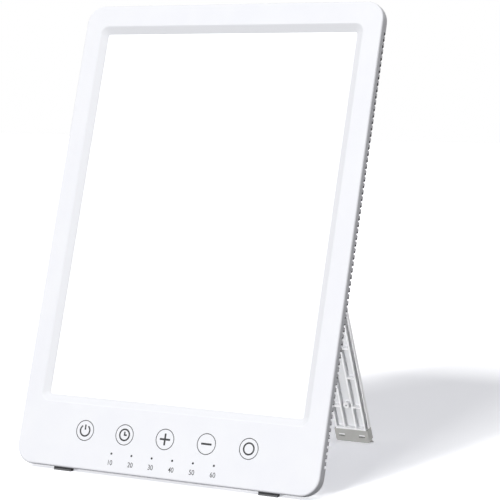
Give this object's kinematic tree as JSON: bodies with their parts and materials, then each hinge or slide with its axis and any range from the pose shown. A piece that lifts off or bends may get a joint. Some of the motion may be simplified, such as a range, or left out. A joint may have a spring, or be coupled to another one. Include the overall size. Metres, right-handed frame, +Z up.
{
  "type": "light therapy lamp",
  "caption": "Slim light panel with a large glowing window, a row of push buttons and minute marks, vented sides and a fold-out leg that leans it back.",
  "frame": {"origin": "centre of the footprint on the table, between the panel's front foot line and the leg's foot", "axes": "+Z up, +X to the right of someone facing the light, +Y to the back"},
  "size_m": [0.178, 0.1486, 0.2416],
  "materials": {
    "frame_plastic": "fine satin white",
    "cover_plastic": "fine satin white",
    "button_plastic": "satin white",
    "leg_plastic": "satin white",
    "dark_rubber": "matt",
    "grey_rubber": "matt",
    "diffuser": "opal, frosted",
    "acrylic": "clear",
    "reflector": "matt white",
    "aluminium": "bare sheet",
    "light_pipe": "frosted clear",
    "board": "solder mask",
    "led_board": "white solder mask",
    "switch_plastic": "moulded",
    "inlet_plastic": "moulded",
    "steel": "zinc plated"
  },
  "bodies": {
    "lamp": {"back_plate": "aluminium", "case_screw_1": "steel", "case_screw_2": "steel", "case_screw_3": "steel", "case_screw_4": "steel", "control_board": "board", "dc_inlet": "inlet_plastic", "diffuser_panel": "diffuser", "driver_board": "board", "foot_left": "dark_rubber", "foot_right": "dark_rubber", "front_frame": "frame_plastic", "hinge_pin": "steel", "led_strip_left": "led_board", "led_strip_right": "led_board", "light_guide": "acrylic", "light_pipe": "light_pipe", "minus_switch": "switch_plastic", "mode_switch": "switch_plastic", "plus_switch": "switch_plastic", "power_switch": "switch_plastic", "rear_cover": "cover_plastic", "reflector_sheet": "reflector", "timer_switch": "switch_plastic"},
    "power_key": {"power_button": "button_plastic"},
    "timer_key": {"timer_button": "button_plastic"},
    "plus_key": {"plus_button": "button_plastic"},
    "minus_key": {"minus_button": "button_plastic"},
    "mode_key": {"mode_button": "button_plastic"},
    "stand": {"stand_leg": "leg_plastic", "stand_foot": "grey_rubber"}
  },
  "joints": [
    {"name": "power_press", "type": "slide", "parent": "lamp", "child": "power_key", "axis": [0, 0.9553, -0.2957], "range_m": [0, 0.0004], "stiffness_N_per_m": 400},
    {"name": "timer_press", "type": "slide", "parent": "lamp", "child": "timer_key", "axis": [0, 0.9553, -0.2957], "range_m": [0, 0.0004], "stiffness_N_per_m": 400},
    {"name": "plus_press", "type": "slide", "parent": "lamp", "child": "plus_key", "axis": [0, 0.9553, -0.2957], "range_m": [0, 0.0004], "stiffness_N_per_m": 400},
    {"name": "minus_press", "type": "slide", "parent": "lamp", "child": "minus_key", "axis": [0, 0.9553, -0.2957], "range_m": [0, 0.0004], "stiffness_N_per_m": 400},
    {"name": "mode_press", "type": "slide", "parent": "lamp", "child": "mode_key", "axis": [0, 0.9553, -0.2957], "range_m": [0, 0.0004], "stiffness_N_per_m": 400},
    {"name": "stand_hinge", "type": "hinge", "parent": "lamp", "child": "stand", "pos_m": [0.0388, -0.00731, 0.18488], "axis": [1, 0, 0], "range_deg": [-40.53, 0]}
  ]
}
